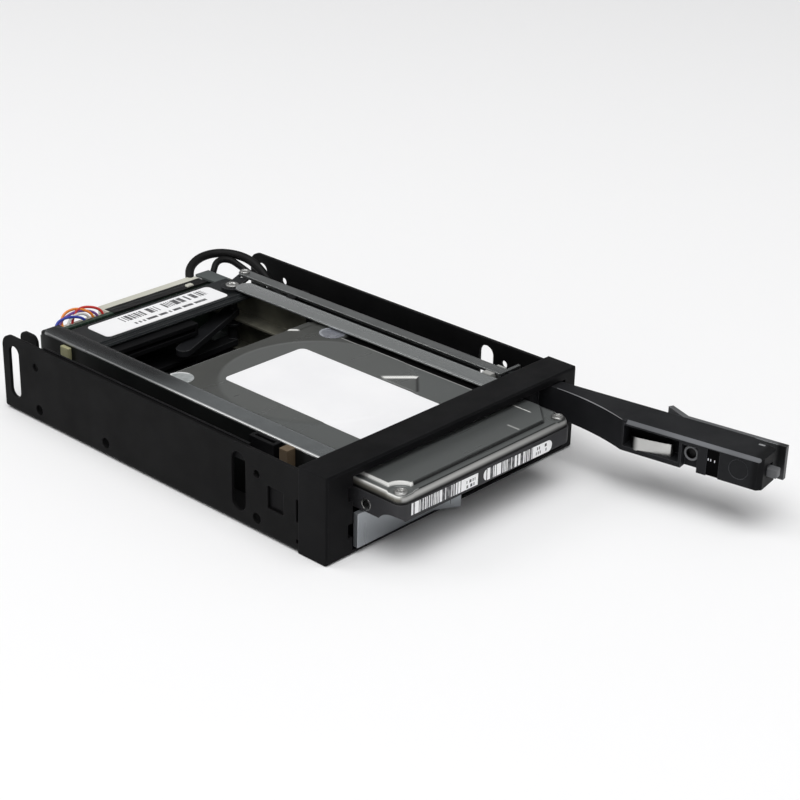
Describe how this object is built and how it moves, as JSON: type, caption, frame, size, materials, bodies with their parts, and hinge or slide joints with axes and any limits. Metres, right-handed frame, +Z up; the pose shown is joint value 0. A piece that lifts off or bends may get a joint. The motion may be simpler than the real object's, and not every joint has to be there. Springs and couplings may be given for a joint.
{
  "type": "external drive enclosure",
  "caption": "Two-bay drive rack: sheet-metal tray, plastic bezel with swinging doors on one pin, sliding disk drive, and rods with levers that push the drive out.",
  "frame": {"origin": "on the underside, under the middle of the rack from the bezel's front to the tray's rear", "axes": "+X to the right seen from the front, +Y towards the rear, +Z up"},
  "size_m": [0.1072, 0.2209, 0.0257],
  "materials": {
    "black_steel": "satin",
    "black_plastic": "moulded",
    "dark_sheet": "gloss",
    "grey_plastic": "moulded",
    "pale_plastic": "moulded",
    "steel": "bright",
    "drive_black": "black coated",
    "drive_cover": "satin",
    "disc_foil": "foil",
    "label": "printed film",
    "board_green": "solder mask",
    "ivory": "moulded",
    "tan": "moulded",
    "cable_black": "sheath",
    "wire_red": "sheath",
    "wire_orange": "sheath",
    "wire_white": "sheath",
    "wire_purple": "sheath",
    "wire_blue": "sheath",
    "smoked": "polished"
  },
  "bodies": {
    "chassis": {"chassis_tray": "black_steel", "bezel": "black_plastic", "hinge_pin": "steel", "left_rail": "dark_sheet", "right_rail": "dark_sheet", "crossbar": "dark_sheet", "crossbar_label": "label", "backplane": "board_green", "rear_connector": "ivory", "wire_header": "ivory", "wire_red": "wire_red", "wire_orange": "wire_orange", "wire_white": "wire_white", "wire_purple": "wire_purple", "wire_blue": "wire_blue", "cable_loop": "cable_black", "rod_guide_front": "pale_plastic", "rod_guide_rear": "black_plastic", "spacer_rear": "ivory", "spacer_front": "tan", "left_clip": "black_plastic", "rear_tab": "dark_sheet", "left_liner": "black_plastic", "upper_socket": "black_plastic", "lower_socket": "black_plastic"},
    "drive": {"drive_base": "drive_black", "drive_board": "board_green", "drive_cover": "drive_cover", "drive_screws": "steel", "drive_discs": "disc_foil", "drive_top_label": "label", "drive_plug": "black_plastic", "drive_label_left": "label", "drive_label_right": "label"},
    "upper_door": {"upper_door_frame": "black_plastic", "upper_handle_pin": "steel", "upper_door_window": "smoked", "upper_boss_ring": "grey_plastic", "upper_leaf_spring": "steel"},
    "upper_handle": {"upper_handle": "grey_plastic"},
    "upper_bolt": {"upper_bolt": "grey_plastic"},
    "upper_rod": {"upper_rod": "dark_sheet", "upper_rod_screw": "steel"},
    "upper_lever": {"upper_lever": "black_plastic", "upper_lever_screw": "steel"},
    "lower_door": {"lower_door_frame": "black_plastic", "lower_handle_pin": "steel", "lower_door_window": "smoked", "lower_boss_ring": "grey_plastic", "lower_leaf_spring": "steel"},
    "lower_handle": {"lower_handle": "grey_plastic"},
    "lower_bolt": {"lower_bolt": "grey_plastic"},
    "lower_rod": {"lower_rod": "dark_sheet", "lower_rod_screw": "steel"},
    "lower_lever": {"lower_lever": "black_plastic"}
  },
  "joints": [
    {"name": "upper_door_hinge", "type": "hinge", "parent": "chassis", "child": "upper_door", "pos_m": [0.0373, -0.0614, 0.0174], "axis": [0, 0, 1], "range_deg": [-98.5, 0]},
    {"name": "drive_slide", "type": "slide", "parent": "chassis", "child": "drive", "axis": [0, 1, 0], "range_m": [0, 0.0273]},
    {"name": "upper_rod_slide", "type": "slide", "parent": "chassis", "child": "upper_rod", "axis": [0, 1, 0], "range_m": [-0.00344, 0]},
    {"name": "upper_lever_turn", "type": "hinge", "parent": "chassis", "child": "upper_lever", "pos_m": [0.0278, 0.0534, 0.017], "axis": [0, 0, 1], "range_deg": [-20, 0]},
    {"name": "upper_handle_pull", "type": "hinge", "parent": "upper_door", "child": "upper_handle", "pos_m": [0.0515, -0.12803, 0.018], "axis": [0, 0, 1], "range_deg": [-15, 0], "stiffness_Nm_per_rad": 0.01, "springref_deg": 3.44},
    {"name": "upper_bolt_slide", "type": "slide", "parent": "upper_door", "child": "upper_bolt", "axis": [-0.1478, 0.989, 0], "range_m": [0, 0.0015]},
    {"name": "lower_door_hinge", "type": "hinge", "parent": "chassis", "child": "lower_door", "pos_m": [0.0373, -0.0614, 0.0067], "axis": [0, 0, 1], "range_deg": [0, 98.5]},
    {"name": "lower_rod_slide", "type": "slide", "parent": "chassis", "child": "lower_rod", "axis": [0, 1, 0], "range_m": [0, 0.00344]},
    {"name": "lower_lever_turn", "type": "hinge", "parent": "chassis", "child": "lower_lever", "pos_m": [0.0278, 0.0534, 0.006], "axis": [0, 0, 1], "range_deg": [0, 20]},
    {"name": "lower_handle_pull", "type": "hinge", "parent": "lower_door", "child": "lower_handle", "pos_m": [-0.0307, -0.0656, 0.0073], "axis": [0, 0, 1], "range_deg": [-15, 0], "stiffness_Nm_per_rad": 0.01, "springref_deg": 3.44},
    {"name": "lower_bolt_slide", "type": "slide", "parent": "lower_door", "child": "lower_bolt", "axis": [1, 0, 0], "range_m": [0, 0.0015]}
  ],
  "couplings": [
    {"joint": "drive_slide", "follows": "upper_door_hinge", "m_per_rad": -0.015879},
    {"joint": "upper_rod_slide", "follows": "upper_door_hinge", "m_per_rad": 0.001996},
    {"joint": "upper_lever_turn", "follows": "upper_door_hinge", "ratio": 0.20304},
    {"joint": "upper_bolt_slide", "follows": "upper_handle_pull", "m_per_rad": -0.005729},
    {"joint": "lower_rod_slide", "follows": "lower_door_hinge", "m_per_rad": 0.001996},
    {"joint": "lower_lever_turn", "follows": "lower_door_hinge", "ratio": 0.20304},
    {"joint": "lower_bolt_slide", "follows": "lower_handle_pull", "m_per_rad": -0.005729}
  ]
}
